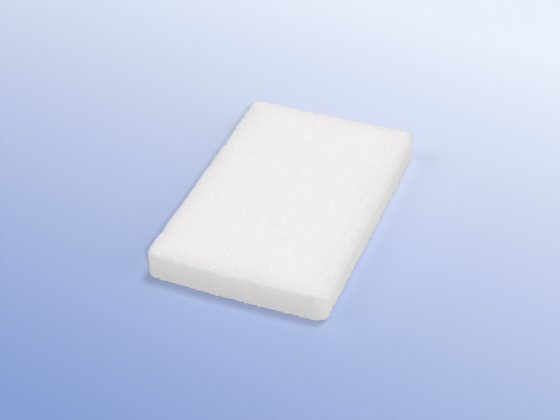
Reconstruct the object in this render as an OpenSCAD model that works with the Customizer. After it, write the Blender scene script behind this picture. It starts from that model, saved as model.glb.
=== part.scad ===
// Block of soft white open-cell foam, cut by hand from a thin sheet.
// It is one solid. It lies flat, with its front toward -Y and its right side toward +X.
// Its origin is the middle of the underside. Sizes are in millimetres.

/* [Block] */
// Width of the block, from left to right
block_width = 65.2; // [30:0.2:90]
// Length of the block, from front to back
block_length = 100.5; // [40:0.5:130]
// Thickness at the middle of the block
block_thickness = 11.9; // [6:0.1:30]

/* [Slicing] */
// How much higher the top lies at the right side than at the left
rise_right = 0.3; // [-0.8:0.1:0.8]
// How much higher the top lies at the back than at the front
rise_back = 1.1; // [-1.2:0.1:1.2]

/* [Plan corners] */
// Plan radius of the front left corner
corner_front_left = 2.3; // [0.5:0.1:6]
// Plan radius of the front right corner
corner_front_right = 3.7; // [0.5:0.1:6]
// Plan radius of the back right corner
corner_back_right = 2.2; // [0.5:0.1:6]
// Plan radius of the back left corner
corner_back_left = 1.5; // [0.5:0.1:6]
// Plan radius of the flat top's corners, where that is more than the radius of the cut corner
corner_flat = 4.5; // [0.5:0.1:7]

/* [Cut sides] */
// How far the front side bulges at its middle
bulge_front = 0.5; // [-1:0.1:1]
// How far the right side bulges at its middle
bulge_right = 0.1; // [-1:0.1:1]
// How far the back side bulges at its middle, negative where it is hollow
bulge_back = -0.4; // [-1:0.1:1]
// How far the left side bulges at its middle, negative where it is hollow
bulge_left = -0.3; // [-1:0.1:1]
// How much farther back the back side lies at its right end than at its left
skew_back = 0.6; // [-2:0.1:2]
// Depth of the hollow round the sides at half height, where the blade squeezed the foam
waist_depth = 0.1; // [0:0.05:0.6]

/* [Edges] */
// Width of the band in which the top rolls down toward the cut sides
shoulder_reach = 4.5; // [2:0.1:6]
// Height that the top loses over that band, before its edge
shoulder_drop = 0.2; // [0:0.05:0.8]
// Radius of the top's edge
top_round = 1.2; // [0.2:0.1:1.5]
// Radius of the underside's edge
bottom_round = 0.5; // [0.2:0.1:1.5]

/* [Torn cells] */
// Depth from crest to hollow of the nibbles that the blade left along the cut edges
nibble_depth = 0.35; // [0:0.05:0.6]
// Spacing of the nibbles
nibble_pitch = 5; // [4:0.1:12]

/* [Smoothness] */
// Spacing of the points along the cut sides
cut_step = 1.2; // [1:0.1:3]

/* [Hidden] */

foam_white = [0.94, 0.935, 0.94];

// Facets in each corner's arc and in each stretch of the section
corner_steps = 6;
bottom_steps = 2;
wall_steps = 4;
edge_steps = 4;
roll_steps = 3;

// Corners and sides run counter-clockwise from the front left corner and the front side
corner_sign = [[-1, -1], [1, -1], [1, 1], [-1, 1]];
corner_radius = [corner_front_left, corner_front_right, corner_back_right, corner_back_left];
side_bulge = [bulge_front, bulge_right, bulge_back, bulge_left];
side_length = [block_width, block_length, block_width, block_length];
side_steps = [for (side = side_length) ceil(side / cut_step)];

// Distance from the middle of the block to the line that joins a side's ends
side_line = [for (s = [0:3]) side_length[(s + 1) % 4] / 2 - max(side_bulge[s], 0)];

// Stations round the outline as [corner, turn through its arc, run along the side after it],
// the last two from 0 to 1
stations = [
    for (c = [0:3]) each concat(
        [for (j = [0:corner_steps]) [c, j / corner_steps, 0]],
        [for (j = [1:side_steps[c] - 1]) [c, 1, j / side_steps[c]]]
    )
];
station_count = len(stations);

// Rings of the section, from the rim of the underside to the rim of the flat top, as
// [inset, share of the top's height, height added to it, lower nibbles, upper nibbles, flatness]
bottom_rings = [
    for (i = [0:bottom_steps - 1])
        let (a = 90 * i / bottom_steps)
        [bottom_round * (1 - sin(a)), 0, bottom_round * (1 - cos(a)), 1, 0, 0]
];
wall_rings = [
    for (i = [0:wall_steps])
        let (u = i / wall_steps)
        [waist_depth * sin(180 * u), u, bottom_round - u * (bottom_round + top_round + shoulder_drop),
            pow(1 - u, 2), pow(u, 2), 0]
];
edge_rings = [
    for (i = [1:edge_steps])
        let (a = 90 * i / edge_steps, inset = top_round * (1 - cos(a)))
        [inset, 1, -top_round * (1 - sin(a)) - roll(inset), 0, cos(a), inset / shoulder_reach]
];
roll_rings = [
    for (i = [1:roll_steps])
        let (inset = top_round + (shoulder_reach - top_round) * i / roll_steps)
        [inset, 1, -roll(inset), 0, 0, inset / shoulder_reach]
];
rings = concat(bottom_rings, wall_rings, edge_rings, roll_rings);

// The nibbles are a sum of waves, which together look irregular. These are the pitches of the
// waves, as shares of the nibbles' spacing, and their phases, as shares of the edge's own phase.
wave_pitch = [1, 0.74, 1.7];
wave_phase = [1, 2.3, 3.1];
lower_phase = 340;
upper_phase = 240;

// Height that the top has lost at an inset from the cut sides, its edge apart
function roll(inset) = shoulder_drop * pow(1 - inset / shoulder_reach, 2);

// Height of the top, which leans as the sheet was sliced
function top_height(x, y) =
    block_thickness + rise_right * x / block_width + rise_back * y / block_length;

// Wave that fits round the outline a whole number of times
function wave(i, pitch, phase) =
    let (turns = round(station_count * cut_step / pitch))
    sin(360 * turns * i / station_count + phase);

// How far the torn edge reaches past the outline at a station
function nibble(i, phase) =
    let (waves = [
        for (k = [0:2]) wave(i, nibble_pitch * wave_pitch[k], phase * wave_phase[k])
    ])
    nibble_depth / 2 * (waves * [1, 1, 1]) / 3;

// Radius of a corner, which grows to that of the flat top's corners
function radius_at(c, flatness) =
    corner_radius[c] + flatness * max(corner_flat - corner_radius[c], 0);

// Distance from the middle of the block to the front or back side at a corner. Where the back
// side is skewed, its farther end sets the length.
function side_ahead(c) =
    c < 2 ? side_line[0] : side_line[2] + (corner_sign[c][0] * skew_back - abs(skew_back)) / 2;

// Middle of a corner's arc
function arc_centre(c, inset, flatness) =
    let (
        back_off = inset + radius_at(c, flatness),
        beside = side_line[c % 2 == 0 ? (c + 3) % 4 : c],
        ahead = side_ahead(c)
    )
    [corner_sign[c][0] * (beside - back_off), corner_sign[c][1] * (ahead - back_off)];

// End of the straight line under a side, where the arc of the corner at that end meets it
function side_end(c, inset, flatness, outward) =
    arc_centre(c, inset, flatness) + radius_at(c, flatness) * outward;

// Plan point of a ring at a station
function plan_point(i, ring) =
    let (
        c = stations[i][0],
        turn = stations[i][1],
        run = stations[i][2],
        angle = 180 + 90 * (c + turn),
        outward = [cos(angle), sin(angle)],
        start = side_end(c, ring[0], ring[5], outward),
        end = side_end((c + 1) % 4, ring[0], ring[5], outward),
        torn = ring[3] * nibble(i, lower_phase) + ring[4] * nibble(i, upper_phase)
    )
    start + run * (end - start) + (side_bulge[c] * sin(180 * run) + torn) * outward;

function ring_point(i, ring) =
    let (p = plan_point(i, ring))
    [p[0], p[1], ring[1] * top_height(p[0], p[1]) + ring[2]];

module foam_block() {
    last = station_count * (len(rings) - 1);
    points = [for (ring = rings, i = [0:station_count - 1]) ring_point(i, ring)];
    underside = [for (i = [0:station_count - 1]) i];
    top = [for (i = [station_count - 1:-1:0]) last + i];
    skin = [
        for (k = [0:len(rings) - 2], i = [0:station_count - 1])
            let (
                low = k * station_count + i,
                low_next = k * station_count + (i + 1) % station_count,
                high = low + station_count,
                high_next = low_next + station_count
            )
            each [[low, high, high_next], [low, high_next, low_next]]
    ];
    color(foam_white)
        polyhedron(points = points, faces = concat([underside, top], skin));
}

foam_block();
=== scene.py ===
"""Looks of a block of soft white open-cell foam, over its solid in the same frame, in metres."""

import math

import bmesh
import bpy
import numpy as np
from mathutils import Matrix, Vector


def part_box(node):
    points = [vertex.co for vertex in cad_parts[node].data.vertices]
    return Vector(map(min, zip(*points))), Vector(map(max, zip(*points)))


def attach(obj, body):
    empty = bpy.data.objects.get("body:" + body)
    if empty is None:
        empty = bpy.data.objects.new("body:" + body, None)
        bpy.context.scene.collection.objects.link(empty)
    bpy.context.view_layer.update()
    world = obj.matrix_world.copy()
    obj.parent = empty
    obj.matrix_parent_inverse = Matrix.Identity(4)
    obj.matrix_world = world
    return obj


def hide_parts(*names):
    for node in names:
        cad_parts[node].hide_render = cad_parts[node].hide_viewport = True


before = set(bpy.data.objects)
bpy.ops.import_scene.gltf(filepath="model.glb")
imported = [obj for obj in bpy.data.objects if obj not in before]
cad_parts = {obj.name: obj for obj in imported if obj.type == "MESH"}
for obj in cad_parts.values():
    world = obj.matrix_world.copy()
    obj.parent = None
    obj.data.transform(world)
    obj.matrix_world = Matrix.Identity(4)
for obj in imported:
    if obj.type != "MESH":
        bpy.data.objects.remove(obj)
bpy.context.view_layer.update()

MM = 0.001
LOW_CORNER, HIGH_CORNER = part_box("foam_block")
WIDTH, LENGTH = ((HIGH_CORNER - LOW_CORNER) / MM)[:2]

# Camera, as the photo was taken, with its angles in degrees and its lens in millimetres
CAMERA_AZIMUTH = 21.25
CAMERA_ELEVATION = 38.26
CAMERA_DISTANCE = 484.6 * MM
CAMERA_TARGET = Vector((-3.29 * MM, 1.33 * MM, 0))
CAMERA_LENS = 85.06
CLIP_START = 10 * MM
SENSOR_WIDTH = 36

# Mesh of the skin, in millimetres: its spacing, the height up to which it is finer, the height
# under which it is underside, and what counts as flat top, by its normal and its inset
VOXEL = 0.36
FINE_TOP = 0.9
UNDERSIDE = 0.02
TOP_NORMAL = 0.99
TOP_INSET = 6.0

# Plain outline that the torn edges run along: the radius of its corners, and the most by which a
# point outside it is brought back to it
CORE_RADIUS = 4.0
OVERHANG = 1.0

# Soft top edges, as their width and height. The front one follows the bulge of the front side. The
# right one narrows toward the back: the gap at which that ends, its run, and the share that is left.
FRONT_ROUND = (2.0, 2.2)
FRONT_BULGE = 0.5
RIGHT_ROUND = (5.0, 5.0)
RIGHT_END = (0.5, 3.0, 0.3)

# Grain of the skin, whose layers are a reach, a size and a seed
GRAIN_BUMPS = ((0.05, 0.9, 1), (0.03, 2.1, 2), (0.05, 6.5, 3))

# Torn edges: how far they stand out, all round and besides that at the foot of the right side, and
# the bands in which they lie. The lower band is a height, over which the foot is also painted
# lighter, as painted light. The upper one is a height and a width, and starts at a depth under the
# flat top.
LOWER_TEARS = 0.3
UPPER_TEARS = 0.5
RIGHT_TEARS = 0.4
LOWER_BAND = 0.7
UPPER_BAND = (0.9, 1.5)
ARRIS_DROP = 0.6

# The upper tears are full at the back, where they have bites too, and have this share of that on
# the other sides. The back edge rises by the second share of its bites.
OTHER_SHARE = 0.5
BACK_RISE = 0.5

# Layers of the torn edges: a share, a size and a seed for bumps, and a share, the shortest and the
# longest tooth and a seed for saw teeth
LOWER_BUMPS = ((1.2, 0.45, 6),)
LOWER_TEETH = ((0.6, 0.6, 1.8, 4),)
UPPER_BUMPS = ((1.0, 6.0, 7), (0.7, 1.8, 8), (0.6, 0.8, 9))
UPPER_TEETH = ((0.4, 1.5, 4.5, 5),)
BACK_BUMPS = ((0.8, 0.9, 12),)
BACK_TEETH = ((0.6, 1.2, 4.0, 13),)
RISE_BUMPS = ((0.3, 3.0, 14),)
RIGHT_TEETH = ((0.6, 3.0, 9.0, 10), (0.4, 2.0, 4.0, 11))

# Shape of the saw teeth: the height of the lowest, and the share that lean the other way
LOWEST_TOOTH = 0.2
TURNED_TEETH = 0.35

# Places where the cut left the block fuller or sparer than the solid: the place, how far round it
# that reaches, and how far it stands out, in millimetres
NUDGES = (
    ((32.0, -45.8, 0.0), 0.7, 0.7),
    ((32.2, -46.5, 0.0), 3.0, -0.1),
    ((32.7, 41.0, 0.0), 7.0, -0.2),
    ((32.7, -5.0, 0.0), 25.0, 0.1),
    ((31.6, 50.2, 0.0), 2.0, 0.55),
    ((-31.4, -48.7, 0.0), 2.0, -0.3),
    ((-32.5, -48.0, 9.5), 1.5, -0.3),
    ((-32.1, 49.6, 11.9), 1.5, 0.5),
    ((28.2, 49.9, 12.3), 1.5, -0.2),
    ((32.8, 44.5, 12.3), 1.5, -0.35),
    ((32.2, 50.3, 12.5), 1.5, 0.1),
    ((25.0, -50.3, 0.0), 10.0, 0.2),
    ((-25.0, -50.3, 0.0), 10.0, -0.15),
)

# Painted shade of the top's rims at the front, right, back and left: how much darker their colour is
# made, how far in they reach, and the depth over which they fade down the sides
PAINTED_RIM_SHADES = (0.24, 0.25, 0.20, 0.13)
RIM_REACH = (2.3, 3.2, 2.3, 3.5)
RIM_FADE = (0.4, 1.9, 1.0, 1.0)

# Painted light: parts whose colour is made brighter than their rim, how much, how far in from the
# side (at the corner from the front and from the left), and a depth. The front one fades over that
# depth, and the others grow.
FRONT_PAINTED_LIGHT = (0.10, 1.0, 3.0)
RIGHT_PAINTED_LIGHT = (0.11, 1.0, 3.0)
CORNER_PAINTED_LIGHT = (0.12, 3.0, 2.0, 2.0)

# Foam: how far light spreads in it, in millimetres, the share of light that does, its darkest and
# palest colour, and its gloss
SPREAD = 9.0
SOFT_SHARE = 0.9
DARK_FOAM = (0.818, 0.799, 0.807)
PALE_FOAM = (0.928, 0.908, 0.916)
ROUGH_FOAM = 0.92
ROUGH_GLINT = 0.35
SPECULAR = 0.25

# Cells in the foam: their size and the depth of their relief, in millimetres, and its strength
CELL = 0.4
RELIEF = 0.12
RELIEF_STRENGTH = 0.8

# Grain between the cells, and patches: their size in millimetres, their detail and their roughness
FINE_NOISE = (0.38, 3.0, 0.7)
PATCH_NOISE = (6.0, 2.0, 0.5)

# Mottle: its contrast, the range of grain that it covers, and the shares of cells and patches in it
MOTTLE = 0.48
MOTTLE_RANGE = (0.3, 0.7)
CELL_SHARE = 0.4
PATCH_SHARE = 0.05

# Painted glints and pores of painted shade: how strong they are, and the share of cells without one
GLINT = 0.75
NO_GLINT = 0.97
PORE = 0.05
NO_PORE = 0.95

# How open the cut cells look: fully on the top, and that share of it on the right side. The painted
# glints grow with it from nothing, and the mottle from its least strength.
RIGHT_OPEN = 0.8
LEAST_MOTTLE = 0.35

# Light on the top from all round and from each lamp, where 1 is white. A lamp is its light, the way
# toward it, its distance and its size in metres.
SKY_LIGHT = 0.10
LAMPS = {
    "back": (0.35, (0.10, 0.30, 1.0), 2.0, 0.62),
    "front": (0.18, (0.68, -1.05, 1.0), 2.0, 0.16),
    "right": (0.113, (1.6, 0.0, 1.0), 2.0, 1.6),
    "left": (0.15, (-1.0, -0.4, 1.0), 2.0, 1.2),
    "rear": (0.055, (0.0, 1.2, 1.0), 2.0, 1.2),
    "top": (0.08, (-0.10, 0.10, 1.0), 2.0, 0.24),
}

# Floor as the foam sees it: its grey, and the share of its own light in that
FLOOR_BOUNCE = 0.725
FLOOR_GLOW = 0.6

# Floor as the camera sees it: its blue at the near and the far end, the way from one to the other,
# and where they lie on it, in millimetres. The last value is the floor's reach each way, in metres.
FLOOR_NEAR = (0.253, 0.359, 0.681)
FLOOR_FAR = (0.834, 0.882, 0.987)
FLOOR_WAY = (0.182, 0.983, 0)
FLOOR_ENDS = (-123.9, 152.6)
FLOOR_REACH = 3.0


def camera():
    """Camera of the photo."""
    azimuth = math.radians(CAMERA_AZIMUTH)
    elevation = math.radians(CAMERA_ELEVATION)
    back = Vector((
        math.sin(azimuth) * math.cos(elevation),
        -math.cos(azimuth) * math.cos(elevation),
        math.sin(elevation),
    ))
    data = bpy.data.cameras.new("camera")
    data.sensor_width = SENSOR_WIDTH
    data.lens = CAMERA_LENS
    data.clip_start = CLIP_START
    eye = bpy.data.objects.new("camera", data)
    eye.location = CAMERA_TARGET + back * CAMERA_DISTANCE
    eye.rotation_euler = back.to_track_quat("Z", "Y").to_euler()
    bpy.context.scene.collection.objects.link(eye)
    bpy.context.scene.camera = eye


def field(points, size, seed):
    """Smooth random field from -1 to 1, with features of that size, at points in millimetres."""
    places = points / size
    low = np.floor(places.min(0)).astype(int)
    shape = np.ceil(places.max(0)).astype(int) - low + 2
    lattice = np.random.default_rng(seed).uniform(-1, 1, shape)
    places = places - low
    cell = np.floor(places).astype(int)
    part = places - cell
    part = part * part * (3 - 2 * part)
    total = np.zeros(len(points))
    for corner in np.ndindex(2, 2, 2):
        weight = np.prod(np.where(corner, part, 1 - part), axis=1)
        x, y, z = (cell + corner).T
        total += weight * lattice[x, y, z]
    return total


def bumps(points, layers):
    """Sum of smooth random fields, each a share, a size and a seed."""
    return sum(share * field(points, size, seed) for share, size, seed in layers)


def tooth_line(run, length, shortest, longest, seed):
    """Uneven saw teeth from -1 to 1 along a closed outline: each swells slowly and steps back."""
    rng = np.random.default_rng(seed)
    count = int(2 * length / (shortest + longest))
    ends = np.concatenate([[0], np.cumsum(rng.uniform(shortest, longest, count))])
    ends *= length / ends[-1]
    height = rng.uniform(LOWEST_TOOTH, 1, count)
    turned = rng.uniform(0, 1, count) < TURNED_TEETH
    k = np.clip(np.searchsorted(ends, run, side="right") - 1, 0, count - 1)
    share = (run - ends[k]) / (ends[k + 1] - ends[k])
    share = np.where(turned[k], 1 - share, share)
    return height[k] * (2 * share - 1)


def teeth(run, length, layers):
    """Sum of lines of saw teeth, each a share, its shortest and longest tooth, and a seed."""
    return sum(
        share * tooth_line(run, length, shortest, longest, seed)
        for share, shortest, longest, seed in layers
    )


def outline_run(points):
    """Each point's distance along the plain outline, that outline's length, and the point's inset
    and way outward, which is nothing in the middle of the block."""
    reach = np.array([WIDTH / 2 - CORE_RADIUS, LENGTH / 2 - CORE_RADIUS])
    plan = points[:, :2]
    core = np.clip(plan, -reach, reach)
    off = plan - core
    angle = np.arctan2(off[:, 1], off[:, 0])
    turn = np.mod(angle + math.pi / 2, 2 * math.pi)
    side = np.floor(np.mod(turn + 1e-6, 2 * math.pi) / (math.pi / 2)).astype(int)
    x, y = core.T + reach[:, None]
    wide, long = 2 * reach
    along = np.choose(side, [x, wide + y, 2 * wide + long - x, 2 * (wide + long) - y])
    run = along + CORE_RADIUS * turn
    length = 2 * (wide + long) + 2 * math.pi * CORE_RADIUS
    past = np.linalg.norm(off, axis=1)
    outward = off / np.maximum(past, 1e-9)[:, None]
    inset = CORE_RADIUS - past + np.maximum((reach - np.abs(plan)).min(1), 0)
    return run, length, inset, outward


def top_depth(points, normals, inset):
    """Depth of each point under the plane of the flat top."""
    plan = points[:, :2]
    z = points[:, 2]
    level = (normals[:, 2] > TOP_NORMAL) & (inset > TOP_INSET)
    sides = np.c_[plan[level], np.ones(level.sum())]
    plane = np.linalg.lstsq(sides, z[level], rcond=None)[0]
    return np.maximum(plan @ plane[:2] + plane[2] - z, 0)


def rolled(gap, depth, wide, tall):
    """How far in and down the points near a square edge move to lie on an elliptical one."""
    reach = np.stack([1 - gap / wide, 1 - depth / tall])
    past = np.linalg.norm(reach, axis=0)
    cut = reach * (1 - 1 / np.maximum(past, 1)) * (reach > 0).all(0)
    return wide * cut[0], tall * cut[1]


def front_roll(points, front_gap, depth):
    """How far in and down the soft front top edge moves the points."""
    bulge = FRONT_BULGE * (1 - np.sin(math.pi * (points[:, 0] / WIDTH + 0.5)))
    return rolled(front_gap - bulge, depth, *FRONT_ROUND)


def right_roll(right_gap, back_gap, depth):
    """How far in and down the soft right top edge moves the points."""
    gap, run, least = RIGHT_END
    share = np.clip((back_gap - gap) / run, least, 1)
    return rolled(right_gap, depth, RIGHT_ROUND[0] * share, RIGHT_ROUND[1] * share)


def rim_shade(gaps, depths):
    """Painted shade at each point: how much darker than the flat top its colour is made, from its
    gap to each side and its depth, less the painted light on the front, its left corner and the
    right side.
    """
    gaps = [np.maximum(gap, 0) for gap in gaps]
    front, right, _, left = gaps
    rim = np.max([
        shade * np.exp(-gap / reach - low / fade)
        for shade, reach, fade, gap, low in zip(PAINTED_RIM_SHADES, RIM_REACH, RIM_FADE, gaps, depths)
    ], axis=0)
    # Painted light brightens the front below its rim, the front-left corner and the right side
    lift, reach, fade = FRONT_PAINTED_LIGHT
    rim -= lift * np.exp(-front / reach - depths[0] / fade)
    lift, front_reach, left_reach, low = CORNER_PAINTED_LIGHT
    corner = np.exp(-front / front_reach - left / left_reach)
    rim -= lift * corner * (1 - np.exp(-depths[0] / low))
    lift, reach, low = RIGHT_PAINTED_LIGHT
    rim -= lift * np.exp(-right / reach) * (1 - np.exp(-((depths[1] / low) ** 2)))
    return rim


def tears(beside, run, length, outward, lower, upper):
    """How far the torn edges stand out and how far they rise, from the strength of both bands."""
    behind = np.maximum(outward[:, 1], 0)
    to_right = np.maximum(outward[:, 0], 0)
    foot = bumps(beside, LOWER_BUMPS) + teeth(run, length, LOWER_TEETH)
    arris = bumps(beside, UPPER_BUMPS) + teeth(run, length, UPPER_TEETH)
    bites = bumps(beside, BACK_BUMPS) + teeth(run, length, BACK_TEETH)
    out = LOWER_TEARS * lower * foot
    out += UPPER_TEARS * upper * (OTHER_SHARE + (1 - OTHER_SHARE) * behind) * arris
    out += UPPER_TEARS * upper * behind * bites
    out += RIGHT_TEARS * lower * to_right * teeth(run, length, RIGHT_TEETH)
    rise = UPPER_TEARS * upper * behind * (BACK_RISE * bites + bumps(beside, RISE_BUMPS))
    return out, rise


def even_copy(node):
    """Copy of the solid with an even mesh, finer at the foot, and one face for the underside."""
    piece = bpy.data.objects.new("foam_skin", node.data.copy())
    bpy.context.scene.collection.objects.link(piece)
    remesh = piece.modifiers.new("even", "REMESH")
    remesh.mode = "VOXEL"
    remesh.voxel_size = VOXEL * MM
    graph = bpy.context.evaluated_depsgraph_get()
    mesh = bpy.data.meshes.new_from_object(piece.evaluated_get(graph))
    piece.modifiers.clear()
    piece.data = mesh
    mesh.name = "foam_skin"

    low = UNDERSIDE * MM
    high = FINE_TOP * MM
    shell = bmesh.new()
    shell.from_mesh(mesh)
    flat = [face for face in shell.faces if max(v.co.z for v in face.verts) < low]
    bmesh.ops.dissolve_faces(shell, faces=flat, use_verts=True)
    foot = [edge for edge in shell.edges if all(low < v.co.z < high for v in edge.verts)]
    bmesh.ops.subdivide_edges(shell, edges=foot, cuts=1, use_grid_fill=True)
    shell.to_mesh(mesh)
    shell.free()
    return piece


def rows(values, name):
    """Vectors that a mesh holds for its points, one a row."""
    flat = np.empty(3 * len(values), np.float32)
    values.foreach_get(name, flat)
    return flat.reshape(-1, 3).astype(float)


def foam_mesh(node):
    """Skin of the foam: the solid with soft top edges, grain and torn edges."""
    piece = even_copy(node)
    mesh = piece.data
    points = rows(mesh.vertices, "co") / MM
    normals = rows(mesh.vertex_normals, "vector")
    flat = np.zeros(len(points))

    run, length, inset, outward = outline_run(points)
    depth = top_depth(points, normals, inset)
    right_of, ahead_of = points[:, 0], points[:, 1]
    front_gap = LENGTH / 2 + ahead_of
    right_gap = WIDTH / 2 - right_of
    back_gap = LENGTH / 2 - ahead_of
    left_gap = WIDTH / 2 + right_of
    front_in, front_down = front_roll(points, front_gap, depth)
    right_in, right_down = right_roll(right_gap, back_gap, depth)
    gaps = [front_gap, right_gap + right_in, back_gap, left_gap]
    # Painted shade of the rims less painted light, which the mesh holds for the colour
    rim = rim_shade(gaps, [depth, depth + right_down, depth, depth])

    # The tears run straight in, so each point has those of the place beside it on the outline
    beside = np.c_[points[:, :2] + np.maximum(inset, -OVERHANG)[:, None] * outward, flat]
    side = np.linalg.norm(outward, axis=1)
    tall, wide = UPPER_BAND
    # The lower band carries the foot's tears and the painted light of the foot
    lower = side * np.exp(-((points[:, 2] / LOWER_BAND) ** 2))
    upper = side * np.exp(
        -((np.maximum(depth - ARRIS_DROP, 0) / tall) ** 2) - (np.maximum(inset, 0) / wide) ** 2
    )
    out, rise = tears(beside, run, length, outward, lower, upper)

    points += normals * bumps(points, GRAIN_BUMPS)[:, None]
    points += np.stack([-right_in, front_in, -front_down - right_down], axis=1)
    points[:, 2] += rise
    for place, reach, shift in NUDGES:
        out += shift * side * np.exp(-((points - place) ** 2).sum(1) / reach ** 2)
    points += out[:, None] * np.c_[outward, flat]
    points[:, 2] = np.maximum(points[:, 2], 0)
    mesh.vertices.foreach_set("co", (points * MM).ravel())

    # The mesh holds the painted shade and light, the painted light of the foot, and how open the
    # cells look
    cells = np.maximum(normals[:, 2], RIGHT_OPEN * normals[:, 0])
    for name, values in (("rim", rim), ("torn", lower), ("open", cells)):
        layer = mesh.attributes.new(name, "FLOAT", "POINT")
        layer.data.foreach_set("value", values.astype(np.float32))
    mesh.update()
    mesh.shade_smooth()
    return piece


def add(tree, kind, inputs=None, **settings):
    """Node with its settings and its inputs, which are values or other nodes' outputs."""
    new = tree.nodes.new(kind)
    for name, value in settings.items():
        setattr(new, name, value)
    for name, value in (inputs or {}).items():
        socket = new.inputs[name]
        if isinstance(value, bpy.types.NodeSocket):
            tree.links.new(value, socket)
        else:
            socket.default_value = value
    return new


def ranged(tree, value, start, end, clamp=True):
    """Value carried from one range to another."""
    return add(tree, "ShaderNodeMapRange", {
        "Value": value, "From Min": start[0], "From Max": start[1],
        "To Min": end[0], "To Max": end[1],
    }, clamp=clamp).outputs["Result"]


def maths(tree, operation, *values, **settings):
    """Result of an operation on values."""
    inputs = dict(enumerate(values))
    return add(tree, "ShaderNodeMath", inputs, operation=operation, **settings).outputs[0]


def noise(tree, place, size, detail, roughness):
    """Noise with features of that size in millimetres."""
    return add(tree, "ShaderNodeTexNoise", {
        "Vector": place, "Scale": 1 / (size * MM), "Detail": detail, "Roughness": roughness,
    }).outputs["Fac"]


def held(tree, name):
    """Value that the mesh holds under that name."""
    return add(tree, "ShaderNodeAttribute", attribute_name=name).outputs["Fac"]


def mixed(tree, share, first, second):
    """Mix of two values."""
    inputs = {0: share, 2: first, 3: second}
    return add(tree, "ShaderNodeMix", inputs, data_type="FLOAT").outputs[0]


def blended(tree, share, first, second):
    """Mix of two colours."""
    inputs = {0: share, 6: first, 7: second}
    return add(tree, "ShaderNodeMix", inputs, data_type="RGBA").outputs[2]


def scaled(tree, colour, share):
    """Colour times a share."""
    inputs = {0: colour, "Scale": share}
    return add(tree, "ShaderNodeVectorMath", inputs, operation="SCALE").outputs["Vector"]


def blank_material(name):
    """Material without nodes, and its node tree."""
    material = bpy.data.materials.new(name)
    material.use_nodes = True
    material.node_tree.nodes.clear()
    return material, material.node_tree


def foam_colour(tree, cell, fine, patch, openness, glint):
    """Colour of the foam: mottle with pores of painted shade and painted glints, and painted shade
    and light on the rims, sides and foot.
    """
    white = (1, 1, 1, 1)
    mottle = mixed(tree, CELL_SHARE, fine, cell.outputs["Blue"])
    mottle = mixed(tree, PATCH_SHARE, mottle, patch)
    shade = ranged(tree, mottle, MOTTLE_RANGE, (-MOTTLE / 2, MOTTLE / 2), clamp=False)
    strength = ranged(tree, openness, (0.0, 1.0), (LEAST_MOTTLE, 1.0))
    shade = maths(tree, "MULTIPLY_ADD", shade, strength, 0.5)
    tone = blended(tree, shade, (*DARK_FOAM, 1), (*PALE_FOAM, 1))
    # Pores: a few cells painted darker, as painted shade in the open cells
    tone = scaled(tree, tone, ranged(tree, cell.outputs["Green"], (NO_PORE, 1.0), (1.0, 1.0 - PORE)))
    # The painted glints blend the colour toward white
    tone = blended(tree, glint, tone, white)
    # Painted shade darkens the rims, and painted light brightens parts of the sides
    tone = scaled(tree, tone, ranged(tree, held(tree, "rim"), (0.0, 1.0), (1.0, 0.0), clamp=False))
    # The foot is painted lighter, toward white, as painted light
    return blended(tree, held(tree, "torn"), tone, white)


def foam_material():
    """Soft white foam, in which light spreads, with the grain of its cut cells."""
    material, tree = blank_material("open_cell_foam")
    place = add(tree, "ShaderNodeTexCoord").outputs["Object"]
    cells = add(tree, "ShaderNodeTexVoronoi", {"Vector": place, "Scale": 1 / (CELL * MM)})
    cell = add(tree, "ShaderNodeSeparateColor", {"Color": cells.outputs["Color"]})
    fine = noise(tree, place, *FINE_NOISE)
    patch = noise(tree, place, *PATCH_NOISE)
    openness = held(tree, "open")
    # Painted glints: a few cells of the top and right side made white in the colour, and glossier
    glint = ranged(tree, cell.outputs["Red"], (NO_GLINT, 1.0), (0.0, GLINT))
    glint = maths(tree, "MULTIPLY", glint, openness, use_clamp=True)
    bump = add(tree, "ShaderNodeBump", {
        "Height": maths(tree, "ADD", cells.outputs["Distance"], fine),
        "Distance": RELIEF * MM,
        "Strength": RELIEF_STRENGTH,
    })
    foam = add(tree, "ShaderNodeBsdfPrincipled", {
        "Base Color": foam_colour(tree, cell, fine, patch, openness, glint),
        "Roughness": ranged(tree, glint, (0.0, 1.0), (ROUGH_FOAM, ROUGH_GLINT)),
        "Normal": bump.outputs["Normal"],
        "Subsurface Weight": SOFT_SHARE,
        "Subsurface Radius": (1.0, 1.0, 1.0),
        "Subsurface Scale": SPREAD * MM,
        "Specular IOR Level": SPECULAR,
    })
    add(tree, "ShaderNodeOutputMaterial", {"Surface": foam.outputs["BSDF"]})
    return material


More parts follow.
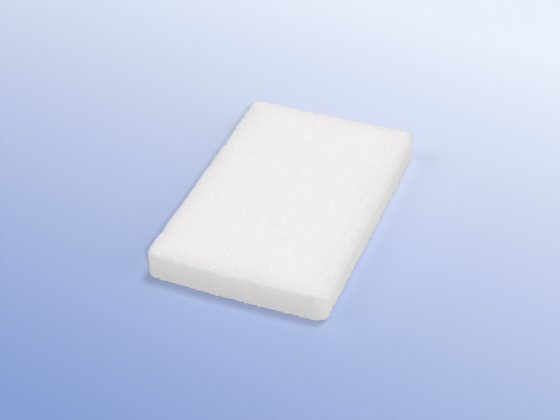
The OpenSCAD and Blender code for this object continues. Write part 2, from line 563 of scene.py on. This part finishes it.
def floor_material():
    """Floor that the camera sees as blue, and whose bounce on the foam is a plain grey."""
    material, tree = blank_material("floor")
    place = add(tree, "ShaderNodeTexCoord").outputs["Object"]
    way = add(tree, "ShaderNodeVectorMath", {0: place, 1: FLOOR_WAY}, operation="DOT_PRODUCT")
    ends = [end * MM for end in FLOOR_ENDS]
    share = ranged(tree, way.outputs["Value"], ends, (0.0, 1.0))
    blue = blended(tree, share, (*FLOOR_NEAR, 1), (*FLOOR_FAR, 1))
    shown = add(tree, "ShaderNodeBsdfDiffuse", {"Color": blue}).outputs[0]

    grey = (FLOOR_BOUNCE,) * 3 + (1,)
    lit = add(tree, "ShaderNodeBsdfDiffuse", {"Color": grey}).outputs[0]
    glow = add(tree, "ShaderNodeEmission", {"Color": grey, "Strength": 1.0}).outputs[0]
    bounce = add(tree, "ShaderNodeMixShader", {0: FLOOR_GLOW, 1: lit, 2: glow}).outputs[0]

    path = add(tree, "ShaderNodeLightPath").outputs
    seen = maths(tree, "MAXIMUM", path["Is Camera Ray"], path["Is Glossy Ray"])
    seen = maths(tree, "MAXIMUM", seen, path["Is Transmission Ray"])
    both = add(tree, "ShaderNodeMixShader", {0: seen, 1: bounce, 2: shown}).outputs[0]
    add(tree, "ShaderNodeOutputMaterial", {"Surface": both})
    return material


def floor():
    """Wide flat floor under the block."""
    low, high = -FLOOR_REACH, FLOOR_REACH
    corners = [(low, low, 0), (high, low, 0), (high, high, 0), (low, high, 0)]
    mesh = bpy.data.meshes.new("floor")
    mesh.from_pydata(corners, [], [(0, 1, 2, 3)])
    mesh.materials.append(floor_material())
    ground = bpy.data.objects.new("floor", mesh)
    bpy.context.scene.collection.objects.link(ground)


def lamp(name, light, aim, distance, size):
    """Round soft lamp, whose light on the top is that share of white."""
    aim = Vector(aim).normalized()
    data = bpy.data.lights.new(name, "AREA")
    data.shape = "DISK"
    data.size = size
    data.energy = light / aim.z * (math.pi * distance) ** 2
    box = bpy.data.objects.new(name, data)
    box.location = aim * distance
    box.rotation_euler = aim.to_track_quat("Z", "Y").to_euler()
    bpy.context.scene.collection.objects.link(box)


def lights():
    """White light from all round, and the lamps."""
    world = bpy.data.worlds.new("studio")
    world.use_nodes = True
    sky = world.node_tree.nodes["Background"]
    sky.inputs["Color"].default_value = (1, 1, 1, 1)
    sky.inputs["Strength"].default_value = SKY_LIGHT
    bpy.context.scene.world = world
    for name, values in LAMPS.items():
        lamp(name, *values)


camera()
foam = foam_mesh(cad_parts["foam_block"])
foam.data.materials.clear()
foam.data.materials.append(foam_material())
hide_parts("foam_block")
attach(foam, "root")
floor()
lights()
bpy.context.scene.view_settings.view_transform = "Standard"
